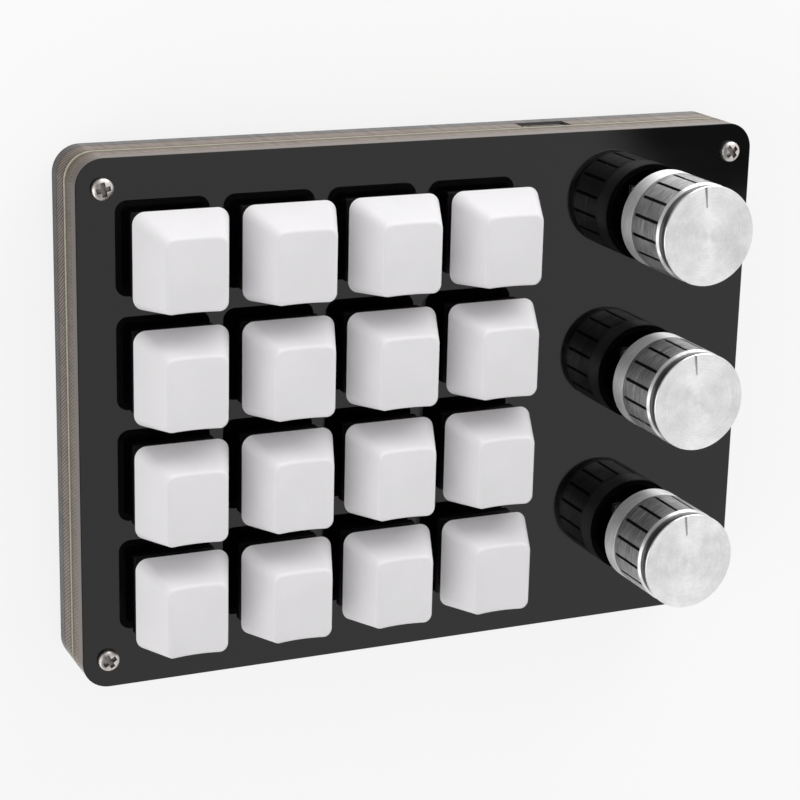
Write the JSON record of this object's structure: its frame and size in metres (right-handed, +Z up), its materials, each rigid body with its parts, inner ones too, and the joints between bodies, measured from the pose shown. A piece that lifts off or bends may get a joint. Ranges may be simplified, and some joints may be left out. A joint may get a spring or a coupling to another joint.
{
  "type": "macro keypad",
  "caption": "Flat macro keypad: a layered dark acrylic case with a grid of white tapered keycaps and a column of slotted metal knobs that turn and push.",
  "frame": {"origin": "under the middle of the case, on the surface that the feet stand on", "axes": "+Z up out of the keys, +Y towards the rear edge with the USB socket, +X towards the knobs"},
  "size_m": [0.1386, 0.101, 0.0375],
  "materials": {
    "top_acrylic": "polished black acrylic",
    "frame_acrylic": "smoke brown acrylic, cut edges",
    "board": "glass fibre board, cream green at its edge",
    "bottom_acrylic": "dark grey acrylic, cut edges",
    "screw_steel": "bright plated steel",
    "brass": "plain",
    "foot_rubber": "matte",
    "usb_steel": "satin",
    "chip": "moulded",
    "switch_body": "moulded nylon",
    "spring_steel": "drawn wire",
    "keycap_plastic": "fine moulded grain",
    "stem_plastic": "smooth",
    "encoder_plastic": "moulded",
    "encoder_steel": "plated",
    "rotor_plastic": "smooth",
    "shaft_metal": "turned",
    "insert_plastic": "moulded",
    "knob_metal": "turned, with a fine brushed band"
  },
  "bodies": {
    "case": {"bottom_plate": "bottom_acrylic", "lower_frame": "frame_acrylic", "circuit_board": "board", "upper_frame": "frame_acrylic", "top_plate": "top_acrylic", "case_screws": "screw_steel", "standoffs": "brass", "rubber_feet": "foot_rubber", "usb_socket": "usb_steel", "board_components": "chip", "switch_lower_housings": "switch_body", "switch_upper_housings": "switch_body", "switch_springs": "spring_steel", "switch_pins": "brass", "encoder_bases": "encoder_plastic", "encoder_covers": "encoder_steel"},
    "key_r1c1": {"keycap_r1c1": "keycap_plastic", "key_stem_r1c1": "stem_plastic"},
    "key_r1c2": {"keycap_r1c2": "keycap_plastic", "key_stem_r1c2": "stem_plastic"},
    "key_r1c3": {"keycap_r1c3": "keycap_plastic", "key_stem_r1c3": "stem_plastic"},
    "key_r1c4": {"keycap_r1c4": "keycap_plastic", "key_stem_r1c4": "stem_plastic"},
    "key_r2c1": {"keycap_r2c1": "keycap_plastic", "key_stem_r2c1": "stem_plastic"},
    "key_r2c2": {"keycap_r2c2": "keycap_plastic", "key_stem_r2c2": "stem_plastic"},
    "key_r2c3": {"keycap_r2c3": "keycap_plastic", "key_stem_r2c3": "stem_plastic"},
    "key_r2c4": {"keycap_r2c4": "keycap_plastic", "key_stem_r2c4": "stem_plastic"},
    "key_r3c1": {"keycap_r3c1": "keycap_plastic", "key_stem_r3c1": "stem_plastic"},
    "key_r3c2": {"keycap_r3c2": "keycap_plastic", "key_stem_r3c2": "stem_plastic"},
    "key_r3c3": {"keycap_r3c3": "keycap_plastic", "key_stem_r3c3": "stem_plastic"},
    "key_r3c4": {"keycap_r3c4": "keycap_plastic", "key_stem_r3c4": "stem_plastic"},
    "key_r4c1": {"keycap_r4c1": "keycap_plastic", "key_stem_r4c1": "stem_plastic"},
    "key_r4c2": {"keycap_r4c2": "keycap_plastic", "key_stem_r4c2": "stem_plastic"},
    "key_r4c3": {"keycap_r4c3": "keycap_plastic", "key_stem_r4c3": "stem_plastic"},
    "key_r4c4": {"keycap_r4c4": "keycap_plastic", "key_stem_r4c4": "stem_plastic"},
    "rotor_1": {"encoder_rotor_1": "rotor_plastic"},
    "knob_1": {"encoder_shaft_1": "shaft_metal", "knob_insert_1": "insert_plastic", "knob_shell_1": "knob_metal"},
    "rotor_2": {"encoder_rotor_2": "rotor_plastic"},
    "knob_2": {"encoder_shaft_2": "shaft_metal", "knob_insert_2": "insert_plastic", "knob_shell_2": "knob_metal"},
    "rotor_3": {"encoder_rotor_3": "rotor_plastic"},
    "knob_3": {"encoder_shaft_3": "shaft_metal", "knob_insert_3": "insert_plastic", "knob_shell_3": "knob_metal"}
  },
  "joints": [
    {"name": "key_press_r1c1", "type": "slide", "parent": "case", "child": "key_r1c1", "axis": [0, 0, -1], "range_m": [0, 0.004], "stiffness_N_per_m": 75, "springref_m": -0.0047, "deforming": ["switch_springs"]},
    {"name": "key_press_r1c2", "type": "slide", "parent": "case", "child": "key_r1c2", "axis": [0, 0, -1], "range_m": [0, 0.004], "stiffness_N_per_m": 75, "springref_m": -0.0047, "deforming": ["switch_springs"]},
    {"name": "key_press_r1c3", "type": "slide", "parent": "case", "child": "key_r1c3", "axis": [0, 0, -1], "range_m": [0, 0.004], "stiffness_N_per_m": 75, "springref_m": -0.0047, "deforming": ["switch_springs"]},
    {"name": "key_press_r1c4", "type": "slide", "parent": "case", "child": "key_r1c4", "axis": [0, 0, -1], "range_m": [0, 0.004], "stiffness_N_per_m": 75, "springref_m": -0.0047, "deforming": ["switch_springs"]},
    {"name": "key_press_r2c1", "type": "slide", "parent": "case", "child": "key_r2c1", "axis": [0, 0, -1], "range_m": [0, 0.004], "stiffness_N_per_m": 75, "springref_m": -0.0047, "deforming": ["switch_springs"]},
    {"name": "key_press_r2c2", "type": "slide", "parent": "case", "child": "key_r2c2", "axis": [0, 0, -1], "range_m": [0, 0.004], "stiffness_N_per_m": 75, "springref_m": -0.0047, "deforming": ["switch_springs"]},
    {"name": "key_press_r2c3", "type": "slide", "parent": "case", "child": "key_r2c3", "axis": [0, 0, -1], "range_m": [0, 0.004], "stiffness_N_per_m": 75, "springref_m": -0.0047, "deforming": ["switch_springs"]},
    {"name": "key_press_r2c4", "type": "slide", "parent": "case", "child": "key_r2c4", "axis": [0, 0, -1], "range_m": [0, 0.004], "stiffness_N_per_m": 75, "springref_m": -0.0047, "deforming": ["switch_springs"]},
    {"name": "key_press_r3c1", "type": "slide", "parent": "case", "child": "key_r3c1", "axis": [0, 0, -1], "range_m": [0, 0.004], "stiffness_N_per_m": 75, "springref_m": -0.0047, "deforming": ["switch_springs"]},
    {"name": "key_press_r3c2", "type": "slide", "parent": "case", "child": "key_r3c2", "axis": [0, 0, -1], "range_m": [0, 0.004], "stiffness_N_per_m": 75, "springref_m": -0.0047, "deforming": ["switch_springs"]},
    {"name": "key_press_r3c3", "type": "slide", "parent": "case", "child": "key_r3c3", "axis": [0, 0, -1], "range_m": [0, 0.004], "stiffness_N_per_m": 75, "springref_m": -0.0047, "deforming": ["switch_springs"]},
    {"name": "key_press_r3c4", "type": "slide", "parent": "case", "child": "key_r3c4", "axis": [0, 0, -1], "range_m": [0, 0.004], "stiffness_N_per_m": 75, "springref_m": -0.0047, "deforming": ["switch_springs"]},
    {"name": "key_press_r4c1", "type": "slide", "parent": "case", "child": "key_r4c1", "axis": [0, 0, -1], "range_m": [0, 0.004], "stiffness_N_per_m": 75, "springref_m": -0.0047, "deforming": ["switch_springs"]},
    {"name": "key_press_r4c2", "type": "slide", "parent": "case", "child": "key_r4c2", "axis": [0, 0, -1], "range_m": [0, 0.004], "stiffness_N_per_m": 75, "springref_m": -0.0047, "deforming": ["switch_springs"]},
    {"name": "key_press_r4c3", "type": "slide", "parent": "case", "child": "key_r4c3", "axis": [0, 0, -1], "range_m": [0, 0.004], "stiffness_N_per_m": 75, "springref_m": -0.0047, "deforming": ["switch_springs"]},
    {"name": "key_press_r4c4", "type": "slide", "parent": "case", "child": "key_r4c4", "axis": [0, 0, -1], "range_m": [0, 0.004], "stiffness_N_per_m": 75, "springref_m": -0.0047, "deforming": ["switch_springs"]},
    {"name": "knob_turn_1", "type": "hinge", "parent": "case", "child": "rotor_1", "pos_m": [0.0489, 0.0329, 0.0146], "axis": [0, 0, 1], "continuous": true},
    {"name": "knob_press_1", "type": "slide", "parent": "rotor_1", "child": "knob_1", "axis": [0, 0, -1], "range_m": [0, 0.0005], "stiffness_N_per_m": 2000, "springref_m": -0.0015},
    {"name": "knob_turn_2", "type": "hinge", "parent": "case", "child": "rotor_2", "pos_m": [0.0489, 0, 0.0146], "axis": [0, 0, 1], "continuous": true},
    {"name": "knob_press_2", "type": "slide", "parent": "rotor_2", "child": "knob_2", "axis": [0, 0, -1], "range_m": [0, 0.0005], "stiffness_N_per_m": 2000, "springref_m": -0.0015},
    {"name": "knob_turn_3", "type": "hinge", "parent": "case", "child": "rotor_3", "pos_m": [0.0489, -0.0329, 0.0146], "axis": [0, 0, 1], "continuous": true},
    {"name": "knob_press_3", "type": "slide", "parent": "rotor_3", "child": "knob_3", "axis": [0, 0, -1], "range_m": [0, 0.0005], "stiffness_N_per_m": 2000, "springref_m": -0.0015}
  ]
}
